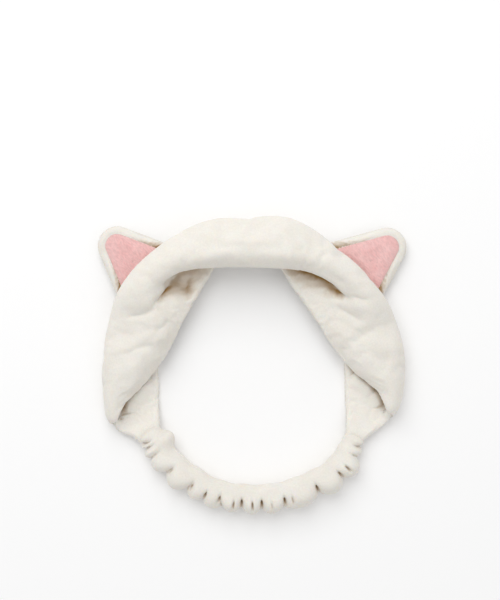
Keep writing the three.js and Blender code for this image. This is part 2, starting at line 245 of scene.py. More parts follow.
def fabricMaterial(name, look):
    # a pile or nonwoven cloth: soft patches of tone, clumps of pile, single fibres, sheen, and a warm brown
    # painted shade mixed into the colour deep in folds and recesses
    material, tree = emptyMaterial(name)
    place = addNode(tree, "ShaderNodeTexCoord").outputs["Object"]
    if "comb" in look:
        combed = addNode(tree, "ShaderNodeMapping", {"vector_type": "TEXTURE"},
                         {"Vector": place, "Scale": look["comb"], "Rotation": look["turn"]})
        place = combed.outputs["Vector"]
    patches, clumps, fibres = (
        addNode(tree, "ShaderNodeTexNoise", {}, {"Vector": place, "Scale": 1 / (look[grain] * mm),
                                                 "Detail": detail, "Roughness": rough})
        for grain, detail, rough in (("patch", 3.0, 0.55), ("clump", 2.0, 0.6), ("fibre", 1.0, 0.5)))
    tone = addNode(tree, "ShaderNodeMix", {"data_type": "RGBA"}, {
        "Factor": patches.outputs["Fac"], "A": hexToLinear(look["dark"]), "B": hexToLinear(look["light"])})
    ramp = addNode(tree, "ShaderNodeMapRange", {},
                   {"Value": clumps.outputs["Fac"], "From Min": 0.3, "From Max": 0.7,
                    "To Min": 1 - look["mottle"], "To Max": 1 + look["mottle"] / 2})
    shade = addNode(tree, "ShaderNodeVectorMath", {"operation": "SCALE"},
                    {0: tone.outputs["Result"], "Scale": ramp.outputs["Result"]})
    # painted shade: the colour is multiplied towards a warm brown tone where the cloth lies deep in a fold
    deep = addNode(tree, "ShaderNodeAttribute", {"attribute_name": "paintedShadeDepth"})
    sunk = addNode(tree, "ShaderNodeMapRange", {},
                   {"Value": deep.outputs["Fac"], "From Min": look["paintedShadeFrom"], "From Max": look["paintedShadeTo"],
                    "To Min": 0.0, "To Max": look["paintedShadeMost"]})
    paintedShadeColour = addNode(tree, "ShaderNodeMix", {"data_type": "RGBA", "blend_type": "MULTIPLY"}, {
        "Factor": sunk.outputs["Result"], "A": shade.outputs["Vector"], "B": hexToLinear(look["paintedShadeTone"])})
    soft = addNode(tree, "ShaderNodeBump", {},
                   {"Height": clumps.outputs["Fac"], "Distance": look["pile"] * mm,
                    "Strength": look["softBump"]})
    fine = addNode(tree, "ShaderNodeBump", {},
                   {"Height": fibres.outputs["Fac"], "Distance": look["fibre"] * mm,
                    "Strength": look["fineBump"], "Normal": soft.outputs["Normal"]})
    shader = addNode(tree, "ShaderNodeBsdfPrincipled", {}, {
        "Base Color": paintedShadeColour.outputs["Result"], "Roughness": look["roughness"],
        "Normal": fine.outputs["Normal"], "Specular IOR Level": 0.2,
        "Sheen Weight": look["sheen"], "Sheen Roughness": 0.5, "Sheen Tint": hexToLinear(look["sheenTint"]),
        "Subsurface Weight": look["through"], "Subsurface Radius": look["spread"], "Subsurface Scale": 1.0})
    addNode(tree, "ShaderNodeOutputMaterial", {}, {"Surface": shader.outputs["BSDF"]})
    return material


# Polyester coral fleece, brushed into a short dense pile: matt warm white, clumps about
# 1.3 mm across, light glowing a little way through the pile
coralFleece = {
    "dark": "#E6E0D6", "light": "#F1EDE6", "patch": 16, "clump": 1.3, "fibre": 0.45, "mottle": 0.04,
    "pile": 0.35, "softBump": 0.35, "fineBump": 0.18, "roughness": 0.95,
    "sheen": 0.18, "sheenTint": "#FFFFFF", "through": 0.2, "spread": (0.0024, 0.0015, 0.0009),
    # warm brown painted shade in folds and recesses: its tone, the fold depths where it begins and is full,
    # and its strength
    "paintedShadeTone": "#A88756", "paintedShadeFrom": 0.1, "paintedShadeTo": 0.5, "paintedShadeMost": 1.0,
}
# The same fleece on its plain side, flatter and a little creamier
plainFleece = {
    **coralFleece, "dark": "#ECE6DC", "light": "#F4F0E9", "clump": 1.0, "pile": 0.25, "softBump": 0.28,
    # here the painted shade begins only deeper in the folds
    "paintedShadeFrom": 0.3, "paintedShadeTo": 0.68,
}
# Crushed polyester plush dyed blush pink: pile laid in streaks about 2 mm wide
crushedPlush = {
    "dark": "#E6AEAC", "light": "#F4CFCC", "patch": 5, "clump": 1.1, "fibre": 0.4, "mottle": 0.12,
    "pile": 0.6, "softBump": 0.5, "fineBump": 0.3, "roughness": 0.85, "sheen": 0.35, "sheenTint": "#FFE9E7",
    "through": 0.15, "spread": (0.0022, 0.0009, 0.0008), "comb": (1, 2.6, 1), "turn": (0, 0, 0.7),
    # a pink painted shade in folds, weaker than on the fleece
    "paintedShadeTone": "#C98F8C", "paintedShadeFrom": 0.2, "paintedShadeTo": 0.8, "paintedShadeMost": 0.6,
}
# Bonded polyester wadding: loose white fibres
bondedWadding = {
    **coralFleece, "dark": "#F2F1EC", "light": "#F8F7F4", "clump": 2.4, "pile": 0.5, "softBump": 0.5,
}
# Spun polyester sewing thread, slightly glossier than the pile
spunThread = {
    **coralFleece, "dark": "#E8E2D7", "light": "#F1ECE3", "patch": 6, "clump": 0.5, "fibre": 0.2,
    "mottle": 0.03, "pile": 0.1, "roughness": 0.7, "sheen": 0.1, "through": 0.05,
}

fleece = fabricMaterial("coralFleeceOffWhite", coralFleece)
lining = fabricMaterial("plainFleeceLining", plainFleece)
plush = fabricMaterial("crushedPlushBlushPink", crushedPlush)
wadding = fabricMaterial("bondedPolyesterWadding", bondedWadding)
thread = fabricMaterial("spunPolyesterThread", spunThread)


def elasticMaterial():
    # Knitted polyester over rubber cores: ribs 0.9 mm apart along the strip, slightly silky
    material, tree = emptyMaterial("knittedElasticWhite")
    waveSpan, ribGap, rowGap = 0.314, 0.9, 0.7         # a wave at scale 1 repeats every 0.314
    strip = addNode(tree, "ShaderNodeUVMap", {"uv_map": "alongStrip"}).outputs["UV"]
    ribs = addNode(tree, "ShaderNodeTexWave", {"wave_type": "BANDS", "bands_direction": "Y"},
                   {"Vector": strip, "Scale": waveSpan / ribGap, "Distortion": 0.4, "Detail": 1.0})
    rows = addNode(tree, "ShaderNodeTexWave", {"wave_type": "BANDS", "bands_direction": "X"},
                   {"Vector": strip, "Scale": waveSpan / rowGap, "Distortion": 0.6})
    both = addNode(tree, "ShaderNodeMath", {"operation": "ADD"},
                   {0: ribs.outputs["Fac"], 1: rows.outputs["Fac"]})
    bump = addNode(tree, "ShaderNodeBump", {},
                   {"Height": both.outputs["Value"], "Distance": 0.15 * mm, "Strength": 0.6})
    tone = addNode(tree, "ShaderNodeMix", {"data_type": "RGBA"}, {
        "Factor": ribs.outputs["Fac"], "A": hexToLinear("#E6E6E2"), "B": hexToLinear("#F6F6F3")})
    shader = addNode(tree, "ShaderNodeBsdfPrincipled", {}, {
        "Base Color": tone.outputs["Result"], "Roughness": 0.6, "Normal": bump.outputs["Normal"],
        "Sheen Weight": 0.1})
    addNode(tree, "ShaderNodeOutputMaterial", {}, {"Surface": shader.outputs["BSDF"]})
    return material


elastic = elasticMaterial()
print("materials made")


# stitches

def stitchTree():
    # short threads laid end to end along a path, each sunk a little at its ends
    tree = bpy.data.node_groups.new("stitchRow", "GeometryNodeTree")
    tree.interface.new_socket("Path", in_out="INPUT", socket_type="NodeSocketGeometry")
    for name, value in (("Pitch", 3.2), ("Stitch Length", 2.7), ("Thread Width", 0.7), ("Slant", 0.0),
                        ("Unevenness", 0.08)):
        socket = tree.interface.new_socket(name, in_out="INPUT", socket_type="NodeSocketFloat")
        socket.default_value = value
    seed = tree.interface.new_socket("Seed", in_out="INPUT", socket_type="NodeSocketInt")
    seed.default_value = 3
    tree.interface.new_socket("Thread", in_out="INPUT", socket_type="NodeSocketMaterial")
    tree.interface.new_socket("Stitches", in_out="OUTPUT", socket_type="NodeSocketGeometry")
    given = addNode(tree, "NodeGroupInput").outputs
    curve = addNode(tree, "GeometryNodeMeshToCurve", {}, {"Mesh": given["Path"]})
    even = addNode(tree, "GeometryNodeResampleCurve", {"mode": "LENGTH"},
                   {"Curve": curve.outputs["Curve"], "Length": given["Pitch"]})
    tangent = addNode(tree, "GeometryNodeInputTangent")
    along = addNode(tree, "FunctionNodeAlignRotationToVector", {"axis": "X"},
                    {"Vector": tangent.outputs["Tangent"]})
    slant = addNode(tree, "ShaderNodeCombineXYZ", {}, {"Z": given["Slant"]})
    turn = addNode(tree, "FunctionNodeRotateRotation", {"rotation_space": "LOCAL"},
                   {"Rotation": along.outputs["Rotation"]})
    lean = addNode(tree, "FunctionNodeEulerToRotation", {}, {"Euler": slant.outputs["Vector"]})
    tree.links.new(lean.outputs["Rotation"], turn.inputs["Rotate By"])
    bead = addNode(tree, "GeometryNodeMeshUVSphere", {}, {"Segments": 8, "Rings": 6, "Radius": 0.5})
    size = addNode(tree, "ShaderNodeCombineXYZ", {},
                   {"X": given["Stitch Length"], "Y": given["Thread Width"], "Z": given["Thread Width"]})
    low = addNode(tree, "ShaderNodeMath", {"operation": "SUBTRACT"}, {0: 1.0, 1: given["Unevenness"]})
    high = addNode(tree, "ShaderNodeMath", {"operation": "ADD"}, {0: 1.0, 1: given["Unevenness"]})
    uneven = addNode(tree, "FunctionNodeRandomValue", {"data_type": "FLOAT"},
                     {"Min": low.outputs["Value"], "Max": high.outputs["Value"], "Seed": given["Seed"]})
    varied = addNode(tree, "ShaderNodeVectorMath", {"operation": "SCALE"},
                     {0: size.outputs["Vector"], "Scale": uneven.outputs["Value"]})
    laid = addNode(tree, "GeometryNodeInstanceOnPoints", {},
                   {"Points": even.outputs["Curve"], "Instance": bead.outputs["Mesh"],
                    "Rotation": turn.outputs["Rotation"], "Scale": varied.outputs["Vector"]})
    real = addNode(tree, "GeometryNodeRealizeInstances", {}, {"Geometry": laid.outputs["Instances"]})
    painted = addNode(tree, "GeometryNodeSetMaterial", {},
                      {"Geometry": real.outputs["Geometry"], "Material": given["Thread"]})
    addNode(tree, "NodeGroupOutput", {}, {"Stitches": painted.outputs["Geometry"]})
    return tree


stitches = stitchTree()


def growOn(piece, tree, inputs):
    # runs a node tree on the piece and keeps what it makes as a plain mesh
    modifier = piece.modifiers.new("Grow", "NODES")
    items = tree.interface.items_tree
    sockets = {item.name: item.identifier for item in items if item.in_out == "INPUT"}
    modifier.node_group = tree
    for name, value in inputs.items():
        modifier[sockets[name]] = value
    keepAsSeen(piece)


def sewRow(name, path, node, recipe, seed):
    piece = makePiece(name, path, [], links=[(at, at + 1) for at in range(len(path) - 1)])
    growOn(piece, stitches, {
        "Pitch": recipe["pitch"] * mm, "Stitch Length": recipe["stitch"] * mm,
        "Thread Width": recipe["thread"] * mm, "Slant": math.radians(recipe.get("slant", 0)),
        "Unevenness": 0.08, "Seed": seed, "Thread": thread})
    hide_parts(node)
    return piece


# band

bandShape = {
    "rows": 200, "across": 56, "halfThickness": 2.95, "restHeight": 2.95, "roundEdge": 4.2, "wall": 1.4,
    "cap": 1.7, "frames": 14, "hold": 0.22, "edgeHold": 0.7, "floorGap": 0.02,
    # the painted shade fades at the two outer corners, from here across and from here along
    "cornerAcross": (98, 101), "cornerAlong": (-37, -33), "cornerShadeFade": 0.85,
    "cloth": {"quality": 5, "mass": 0.25, "tension_stiffness": 14, "compression_stiffness": 14,
              "shear_stiffness": 6, "bending_stiffness": 1.6, "air_damping": 1.5, "shrink_min": -0.028,
              "use_pressure": True, "uniform_pressure_force": 1.2, "pin_stiffness": 0.6},
}
# Each place gives the back edge, the fold and the front edge; over the head the front half also
# has a pleat, with its ridge, its roll and the tuck beneath
rest = bandShape["restHeight"]
bandPlaces = [
    {"back": (-68.6, -46.1, 8), "fold": (-75.4, -53.2, 8), "edge": (-81.8, -59.6, 8)},
    {"back": (-69.4, -39, 8), "fold": (-81, -48.4, 8), "edge": (-88.9, -54, 8)},
    {"back": (-69.8, -31.5, 5), "fold": (-91, -44.8, 5), "edge": (-99.4, -49.6, 7)},
    {"back": (-69.9, -28, 4), "fold": (-98, -43, 5), "edge": (-102, -45.8, 10)},
    {"back": (-70, -24, rest), "fold": (-104.5, -40, 6), "edge": (-100, -39.5, 16)},
    {"back": (-69.8, -15, rest), "fold": (-107.6, -27, 9), "edge": (-94, -27.4, 15), "crest": 20},
    {"back": (-70.5, -3.8, rest), "fold": (-108.8, -9, 12), "edge": (-79.9, -12, 12), "crest": 23},
    {"back": (-67.5, 12, rest), "fold": (-107.6, 10.5, 14), "edge": (-64.1, 9, 11.5), "crest": 25.5},
    {"back": (-60, 32.3, rest), "fold": (-103.1, 32.3, 17), "edge": (-52.5, 31.1, 13), "crest": 26},
    {"back": (-49, 52, rest), "fold": (-95.3, 55.5, 21), "edge": (-43.5, 46.5, 16), "lean": 0.9,
     "pleat": [(-88.5, 54.8, 31), (-78, 55.5, 33), (-68.3, 51.8, 24)]},
    {"back": (-32, 74, rest), "fold": (-73.5, 80.6, 25), "edge": (-31.5, 66.4, 14), "lean": 0.7,
     "pleat": [(-63, 75, 38), (-55.5, 70.9, 34), (-58.5, 73.5, 22)]},
    {"back": (-14, 80, rest), "fold": (-33.8, 104.3, 26), "edge": (-23.3, 78.8, 16.5), "lean": 0.57,
     "pleat": [(-27.8, 84, 43), (-25.5, 76.1, 34), (-26.3, 81, 24)]},
    {"back": (0, 80, rest), "fold": (-0.8, 108, 26), "edge": (-0.8, 82.5, 16.5), "lean": 0.57,
     "pleat": [(-0.8, 85.5, 43), (-0.8, 76.5, 34), (-0.8, 84, 24)]},
    {"back": (13, 80, rest), "fold": (29.3, 106.5, 26), "edge": (17.3, 78, 16.5), "lean": 0.57,
     "pleat": [(22.5, 84.4, 43), (19.5, 75.4, 34), (21, 81, 24)]},
    {"back": (34, 70, rest), "fold": (70.5, 78.8, 25), "edge": (30.8, 59.3, 14), "lean": 0.68,
     "pleat": [(57, 76.3, 38.5), (51, 69.3, 33), (53.5, 73, 21.5)]},
    {"back": (53, 44, rest), "fold": (97.5, 48, 20), "edge": (46.5, 37.5, 16), "lean": 1.02,
     "pleat": [(87, 52.1, 33), (76.5, 50.3, 31), (70.5, 50.3, 24)]},
    {"back": (63, 21, rest), "fold": (105.8, 30.8, 16), "edge": (55.9, 24, 13), "crest": 25.5},
    {"back": (69, 9, rest), "fold": (111.4, 12, 14), "edge": (64.1, 12, 12), "crest": 25},
    {"back": (70.9, -3, rest), "fold": (112.5, -3.8, 12), "edge": (75.8, -1.5, 12), "crest": 23},
    {"back": (71.3, -15, rest), "fold": (111.4, -20.3, 9.5), "edge": (94.5, -18.4, 15.5), "crest": 20.5},
    {"back": (71.6, -25.5, rest), "fold": (107.5, -32.5, 6.5), "edge": (101, -31.5, 17)},
    {"back": (71.8, -30.5, 4), "fold": (100.5, -38, 5), "edge": (104.4, -39.6, 10)},
    {"back": (72, -34.5, 5), "fold": (93, -42.5, 5), "edge": (101.5, -43.5, 7.5)},
    {"back": (72, -43.5, 8), "fold": (82.5, -50.3, 8), "edge": (90.4, -52.1, 8)},
    {"back": (71.6, -52.5, 8), "fold": (75.8, -55.1, 8), "edge": (81.8, -59.3, 8)},
]
# Dents and wrinkles: the line they follow, how wide and deep they are, and the half of the band
# that they lie in. A minus depth is a ridge.
bandCreases = [
    # back half where it rises to the front edge
    {"line": [(-93, -27), (-82, -15), (-77, -10)], "wide": 7, "deep": -3.4, "half": "back"},
    {"line": [(-98, -36), (-90, -25)], "wide": 8, "deep": -1.8, "half": "back"},
    {"line": [(94, -20), (84, -12), (78, -6)], "wide": 7, "deep": -3.4, "half": "back"},
    {"line": [(100, -29), (92, -19)], "wide": 8, "deep": -1.8, "half": "back"},
    # left side
    {"line": [(-93, 38), (-84, 38.5), (-70, 43)], "wide": 3.2, "deep": 1.9},
    {"line": [(-91, 43.5), (-82, 46), (-74, 49)], "wide": 4.0, "deep": -0.6},
    {"line": [(-78, 47), (-70, 57), (-66, 64)], "wide": 2.4, "deep": -2.2},
    {"line": [(-74, 45), (-66, 55), (-61, 63)], "wide": 2.8, "deep": 2.6},
    {"line": [(-62, 67), (-52, 61), (-42, 60)], "wide": 8, "deep": 4.5},
    {"line": [(-51, 60), (-48.5, 52), (-50, 43)], "wide": 3.2, "deep": 1.3},
    {"line": [(-60, 54), (-56, 44)], "wide": 3.0, "deep": -1.4},
    {"line": [(-76, 64), (-69, 63)], "wide": 2.6, "deep": 1.2},
    {"line": [(-73, 25), (-66, 30), (-61, 36)], "wide": 2.4, "deep": 1.5},
    {"line": [(-98, 20), (-90, 22), (-84, 21)], "wide": 5, "deep": 1.0},
    {"line": [(-97, 6), (-84, 13), (-70, 17)], "wide": 4.5, "deep": 1.4},
    # right side
    {"line": [(57, 62), (64, 57), (74, 53), (90, 48)], "wide": 2.8, "deep": 2.6},
    {"line": [(62, 46), (74, 40), (84, 32)], "wide": 3.6, "deep": 1.7},
    {"line": [(58, 50), (70, 47), (80, 41)], "wide": 4.0, "deep": -1.2},
    {"line": [(60, 40), (78, 27), (94, 22)], "wide": 5.5, "deep": 1.6},
    {"line": [(70, 22), (88, 11), (107, 0)], "wide": 6.5, "deep": 1.8},
    {"line": [(74, 50), (92, 36)], "wide": 5, "deep": -1.0},
    # roll over the head
    {"line": [(18, 83.5), (37, 80.5), (54, 76.5), (71, 67.5), (88, 54)], "wide": 2.1, "deep": -1.3},
    {"line": [(26, 77), (44, 74), (60, 67), (78, 56)], "wide": 4.2, "deep": 2.2},
    {"line": [(30, 86.5), (42, 84), (58, 79)], "wide": 2.6, "deep": 0.8},
    {"line": [(60, 62), (67, 66)], "wide": 1.6, "deep": 0.8},
    {"line": [(-58, 74), (-30, 86.4), (0, 87.2), (26, 86.2), (50, 80)], "wide": 2.2, "deep": 1.5},
    {"line": [(-54, 70), (-30, 82.6), (0, 83.6), (26, 82.6), (50, 75)], "wide": 2.0, "deep": -1.1},
    {"line": [(-66, 62), (-52, 72), (-36, 80)], "wide": 3.0, "deep": 0.6},
]


def sectionRails(place):
    back, fold, edge = (np.array(place[part], float) for part in ("back", "fold", "edge"))
    span = math.hypot(fold[0] - back[0], fold[1] - back[1])
    rise, lift = fold[2] - back[2], place.get("crest", edge[2]) - fold[2]
    shoulder = place.get("lean", 0.35) * rise
    seat = max(1.05 * rise, 0.25 * span)

    def between(start, finish, share, height):
        point = start + (finish - start) * share
        point[2] = height
        return point

    rails = [back, between(back, fold, 0.5 * (1 - seat / span), back[2]),
             between(back, fold, 1 - seat / span, back[2]),
             between(back, fold, 1 - max(shoulder / span, 0.12), back[2] + 0.3 * rise), fold]
    if "pleat" in place:
        rails += [np.array(point, float) for point in place["pleat"]]
    else:
        doubled = float(smooth(lift, 4, 11))
        for share, climb in ((0.12, 0.7), (0.4, 1.05), (0.7, 0.88 if "crest" in place else 1.08)):
            height = fold[2] + lift * (share + (climb - share) * doubled)
            rails.append(between(fold, edge, share, height))
    return np.array(rails + [edge])


def creaseField(points, crease):
    # how strongly a crease acts at each point, seen from above
    spots = np.array([(*spot, 0) for spot in crease["line"]], float)
    line = splineEvenly(spots, np.linspace(0, 1, 25))[:, :2]
    flat = points[..., None, :2] - line
    away = np.linalg.norm(flat, axis=-1)
    share = away.argmin(-1) / (len(line) - 1)
    taper = smooth(share, 0, 0.22) * (1 - smooth(share, 0.78, 1))
    return np.exp(-(away.min(-1) / crease["wide"]) ** 2) * (0.15 + 0.85 * taper)


def normalsOf(surface):
    along = np.gradient(surface, axis=0)
    across = np.gradient(surface, axis=1)
    normal = np.cross(across, along)
    return normal / np.maximum(np.linalg.norm(normal, axis=-1, keepdims=True), 1e-9)


def bandSurface(rows, shares):
    sections = np.array([sectionRails(place) for place in bandPlaces])
    fine = np.linspace(0, 1, 481)
    rails = np.stack([splineAt(sections[:, rail], fine) for rail in range(sections.shape[1])], axis=1)
    speed = np.linalg.norm(np.diff(rails, axis=0), axis=-1).mean(1)
    length = np.concatenate([[0], np.cumsum(speed)])
    at = np.interp(np.linspace(0, length[-1], rows + 1), length, fine)
    rails = np.stack([splineAt(sections[:, rail], at) for rail in range(sections.shape[1])], axis=1)
    surface = np.array([splineEvenly(section, shares) for section in rails])
    surface[..., 2] = np.maximum(surface[..., 2], rest)
    normal = normalsOf(surface)
    front = smooth(shares, 0.42, 0.5)[None, :]
    for crease in bandCreases:
        mask = (1 - front) if crease.get("half") == "back" else front
        facing = np.clip(normal[..., 2], 0, 1)
        if crease.get("half") == "back":
            facing = -np.clip(-normal[..., 2], 0, 1)
        push = creaseField(surface, crease) * crease["deep"] * mask * facing
        surface = surface - normal * push[..., None]
    return surface


def edgeRound(shares, widths):
    # how far open the two panels stand, falling to nothing in a round at both long edges
    reach = bandShape["roundEdge"]
    near = np.minimum(shares[None, :], 1 - shares[None, :]) * widths[:, None]
    t = np.clip(near / reach, 0, 1)
    return np.sqrt(np.maximum(1 - (1 - t) ** 2, 0))


def evened(field):
    # each point takes the middle value of itself and its neighbours, which drops lone spikes
    wide = np.pad(field, 1, mode="edge")
    rows, columns = field.shape
    near = [wide[r:r + rows, c:c + columns] for r in range(3) for c in range(3)]
    return np.median(near, axis=0)


def bandShares(count):
    even = np.linspace(0, 1, count + 1)
    return even - 0.55 * np.sin(2 * np.pi * even) / (2 * np.pi)    # closer together at the two edges


def makeBand():
    rows, across = bandShape["rows"], bandShape["across"]
    shares = bandShares(across)
    surface = bandSurface(rows, shares)
    normal = normalsOf(surface)
    widths = np.linalg.norm(np.diff(surface, axis=1), axis=-1).sum(1)
    gap = edgeRound(shares, widths) * bandShape["halfThickness"]
    outer = surface + normal * gap[..., None]
    inner = surface - normal * gap[..., None]
    ring = np.concatenate([outer, inner[:, -2:0:-1]], axis=1)
    columns = ring.shape[1]
    shell = makePiece("bandShell", ring, gridFaces(rows + 1, columns, closed=True))
    hold = np.full((rows + 1, columns), bandShape["hold"])
    hold[:, 0] = hold[:, across] = bandShape["edgeHold"]
    hold[:3] = hold[-3:] = 1
    settle(shell, bandShape, hold.ravel())
    ring = pointsOf(shell.data).reshape(rows + 1, columns, 3)
    ring[..., 2] = np.maximum(ring[..., 2], bandShape["floorGap"])
    bpy.data.objects.remove(shell)
    outer = ring[:, :across + 1]
    inner = np.concatenate([ring[:, :1], ring[:, :across - 1:-1]], axis=1)
    skins = [(outer, False), (inner, False)]
    for name, skin, material, slot, node, way in (
            ("bandOuterPanel", outer, fleece, "off_white_fleece", "band_outer_panel", 1),
            ("bandLiningPanel", inner, lining, "lining_fleece", "band_lining_panel", -1)):
        faces = [face[::way] for face in gridFaces(rows + 1, across + 1)]
        # painted shade for each point, from how deep it lies in the band's folds, faded at the two outer
        # corners
        paintedShade = paintedShadeDepths(skin.reshape(-1, 3), normalsOf(skin).reshape(-1, 3) * way, skins)
        corner = smooth(np.abs(skin[..., 0]), *bandShape["cornerAcross"])
        corner = corner * (1 - smooth(skin[..., 1], *bandShape["cornerAlong"]))
        paintedShade = evened(paintedShade.reshape(corner.shape)) * (1 - bandShape["cornerShadeFade"] * corner)
        piece = makePiece(name, skin, faces, material, paintedShade)
        finishMesh(piece, ("SUBSURF", {"levels": 1, "render_levels": 1}),
                   ("SOLIDIFY", {"thickness": bandShape["wall"] * mm, "offset": -1}))
        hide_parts(node)
        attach(piece, "band")
    return outer, (outer + inner) / 2


bandOuterSkin, bandMiddle = makeBand()
print("band made")


def makeWadding():
    rows = slice(4, -4, 3)
    core = bandMiddle[rows, 3:-3:2]
    normal = normalsOf(core)
    high, low = core + normal * 0.8, core - normal * 0.8
    low[..., 2] = np.maximum(low[..., 2], 1.8)
    ring = np.concatenate([high, low[:, ::-1]], axis=1)
    count = ring.shape[1]
    faces = gridFaces(len(ring), count, closed=True)
    half = count // 2
    for start, order in ((0, 1), ((len(ring) - 1) * count, -1)):
        for at in range(half - 1):
            face = [start + at, start + at + 1, start + count - 2 - at, start + count - 1 - at]
            faces.append(face[::-order] if order == 1 else face)
    piece = makePiece("bandWadding", ring, faces, wadding)
    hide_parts("band_wadding")
    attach(piece, "band")


makeWadding()


# ears

earShape = {
    "baseHalf": 32, "height": 52, "tipRadius": 14.6, "baseCut": 3, "baseHollow": 4.5, "rim": 5.7,
    "outline": 120, "thick": 4.3, "seamHeight": 0.5, "wall": 1.2, "cap": 1.0, "frames": 12,
    "cloth": {"quality": 6, "mass": 0.12, "tension_stiffness": 12, "compression_stiffness": 12,
              "shear_stiffness": 5, "bending_stiffness": 0.8, "air_damping": 1.5, "shrink_min": -0.011,
              "use_pressure": True, "uniform_pressure_force": 2.0, "pin_stiffness": 1.0},
}
earPlaces = {
    "left": {"base": (-74, 64.4, 7), "turn": 46},
    "right": {"base": (73.4, 66, 7), "turn": -51.4},
}


def earOutline(inset, baseInset, count):
    tip = earShape["tipRadius"]
    middle = earShape["height"] - tip
    reach = math.hypot(earShape["baseHalf"], middle)
    lean = math.acos(tip / reach) - math.atan2(middle, earShape["baseHalf"])
    radius = tip - inset
    touch = np.array([math.cos(lean) * radius, middle + math.sin(lean) * radius])
    half = touch[0] + (touch[1] - baseInset) * math.tan(lean)
    side = np.linspace((half, baseInset), touch, 40)
    angles = np.linspace(lean, math.pi - lean, 60)[1:-1]
    arc = np.stack([np.cos(angles) * radius, middle + np.sin(angles) * radius], axis=1)
    mirror = side[::-1] * (-1, 1)
    across = np.linspace(-1, 1, 40)[1:-1]
    base = np.stack([across * half, baseInset + earShape["baseHollow"] * (1 - across ** 2)], axis=1)

    def evenly(path, number):
        length = lengthAlong(path)
        at = np.linspace(0, length[-1], number + 1)[:-1]
        return np.stack([np.interp(at, length, path[:, axis]) for axis in (0, 1)], axis=1)

    rimPath = np.vstack([side, arc, mirror])
    basePath = np.vstack([mirror[-1:], base, side[:1]])
    rimCount = int(count * 0.68)
    return np.vstack([evenly(rimPath, rimCount), evenly(basePath, count - rimCount)]), rimCount


def toWorld(side, points):
    place = earPlaces[side]
    turn = Matrix.Rotation(math.radians(place["turn"]), 3, "Z")
    return np.asarray(points, float) @ np.array(turn).T + np.array(place["base"])


def makeEar(side):
    count = earShape["outline"]
    insets = [0, 0.7, 1.6, 2.7, 3.9, 5.1, 5.9, earShape["rim"]]
    flat = [earOutline(inset, earShape["baseCut"] + inset * 0.3, count)[0] for inset in insets]
    rimCount = earOutline(0, 0, count)[1]
    middle = flat[-1].mean(0)
    steps = [0.1, 0.2, 0.32, 0.44, 0.56, 0.68, 0.8, 0.92]
    flat += [flat[len(insets) - 1] * (1 - step) + middle * step for step in steps]
    flat = np.array(flat)
    depth = np.concatenate([insets, earShape["rim"] + np.array(steps) * 14])
    # height of the two faces over the seam: a puffy rim, a groove at the patch, a plump middle
    swell = np.sin(np.clip(depth / 15, 0, 1) * np.pi / 2) ** 0.55
    groove = np.exp(-((depth - earShape["rim"]) / 1.1) ** 2)
    puff = np.exp(-((depth - 3.2) / 2.2) ** 2)
    front = 0.2 + earShape["thick"] * swell + 0.5 * puff - 0.8 * groove
    back = 0.2 + (earShape["thick"] - 0.4) * swell
    front[0] = back[0] = 0
    nearBase = smooth(flat[..., 1], earShape["baseCut"] - 1, 22)
    thin = 0.5 + 0.5 * nearBase
    rows = len(flat)
    upper = np.dstack([flat, front[:, None] * thin])
    lower = np.dstack([flat, -back[:, None] * thin])
    seat = earShape["seamHeight"]
    points = np.concatenate([upper, lower[1:]])
    points[..., 2] += seat
    top = np.array([[*middle, front[-1] + 0.1 + seat], [*middle, -back[-1] - 0.1 + seat]])
    every = toWorld(side, np.vstack([points.reshape(-1, 3), top]))
    faces = gridFaces(rows, count, closed=True)
    last = (rows - 1) * count
    tipFront, tipBack = len(every) - 2, len(every) - 1
    faces += [[last + at, last + (at + 1) % count, tipFront] for at in range(count)]
    # the back face shares the outline
    def backRow(row):
        return np.arange(count) if row == 0 else (rows + row - 1) * count + np.arange(count)
    backFaces = []
    for row in range(rows - 1):
        near, far = backRow(row), backRow(row + 1)
        backFaces += [[near[at], far[at], far[(at + 1) % count], near[(at + 1) % count]]
                      for at in range(count)]
    far = backRow(rows - 1)
    backFaces += [[far[(at + 1) % count], far[at], tipBack] for at in range(count)]
    form = makePiece(f"{side}EarForm", every, faces + [[int(i) for i in face] for face in backFaces])
    hold = np.zeros(len(every))
    hold[:count] = 1
    hold[(len(insets) - 1) * count:len(insets) * count] = 0.6
    low = np.concatenate([nearBase.reshape(-1), nearBase[1:].reshape(-1), [1, 1]])
    hold = np.maximum(hold, 1 - smooth(low, 0.0, 0.5))
    hold[(rows - 3) * count:rows * count] = hold[-3 * count:] = 1         # the middles stay as they are
    settle(form, earShape, hold)
    settled = pointsOf(form.data)
    bpy.data.objects.remove(form)
    frontGrid = settled[:rows * count].reshape(rows, count, 3)
    backGrid = np.concatenate([frontGrid[:1], settled[rows * count:-2].reshape(rows - 1, count, 3)])
    return {"side": side, "front": frontGrid, "back": backGrid, "tips": settled[-2:],
            "patchRow": len(insets) - 1, "rimCount": rimCount, "rows": rows, "count": count}


def discFaces(rows, count, flip=False):
    faces = gridFaces(rows, count, closed=True)
    last, tip = (rows - 1) * count, rows * count
    faces += [[last + at, last + (at + 1) % count, tip] for at in range(count)]
    return [face[::-1] for face in faces] if flip else faces


def doubleDiscFaces(rows, count):
    # a disc, and under it the same disc turned over, joined round their rims
    size = rows * count + 1
    faces = discFaces(rows, count) + [[v + size for v in face] for face in discFaces(rows, count, True)]
    return faces + [[(at + 1) % count, at, at + size, (at + 1) % count + size] for at in range(count)]


def earNormals(grid, way):
    # the normals of a face of the ear, and one for the middle point
    normal = -normalsOf(np.concatenate([grid, grid[:, :1]], axis=1))[:, :-1].reshape(-1, 3) * way
    return np.vstack([normal * np.where(normal[:, 2:] * way < 0, -1, 1), (0, 0, way)])


def blendEar(piece):
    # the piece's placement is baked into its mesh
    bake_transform(piece)


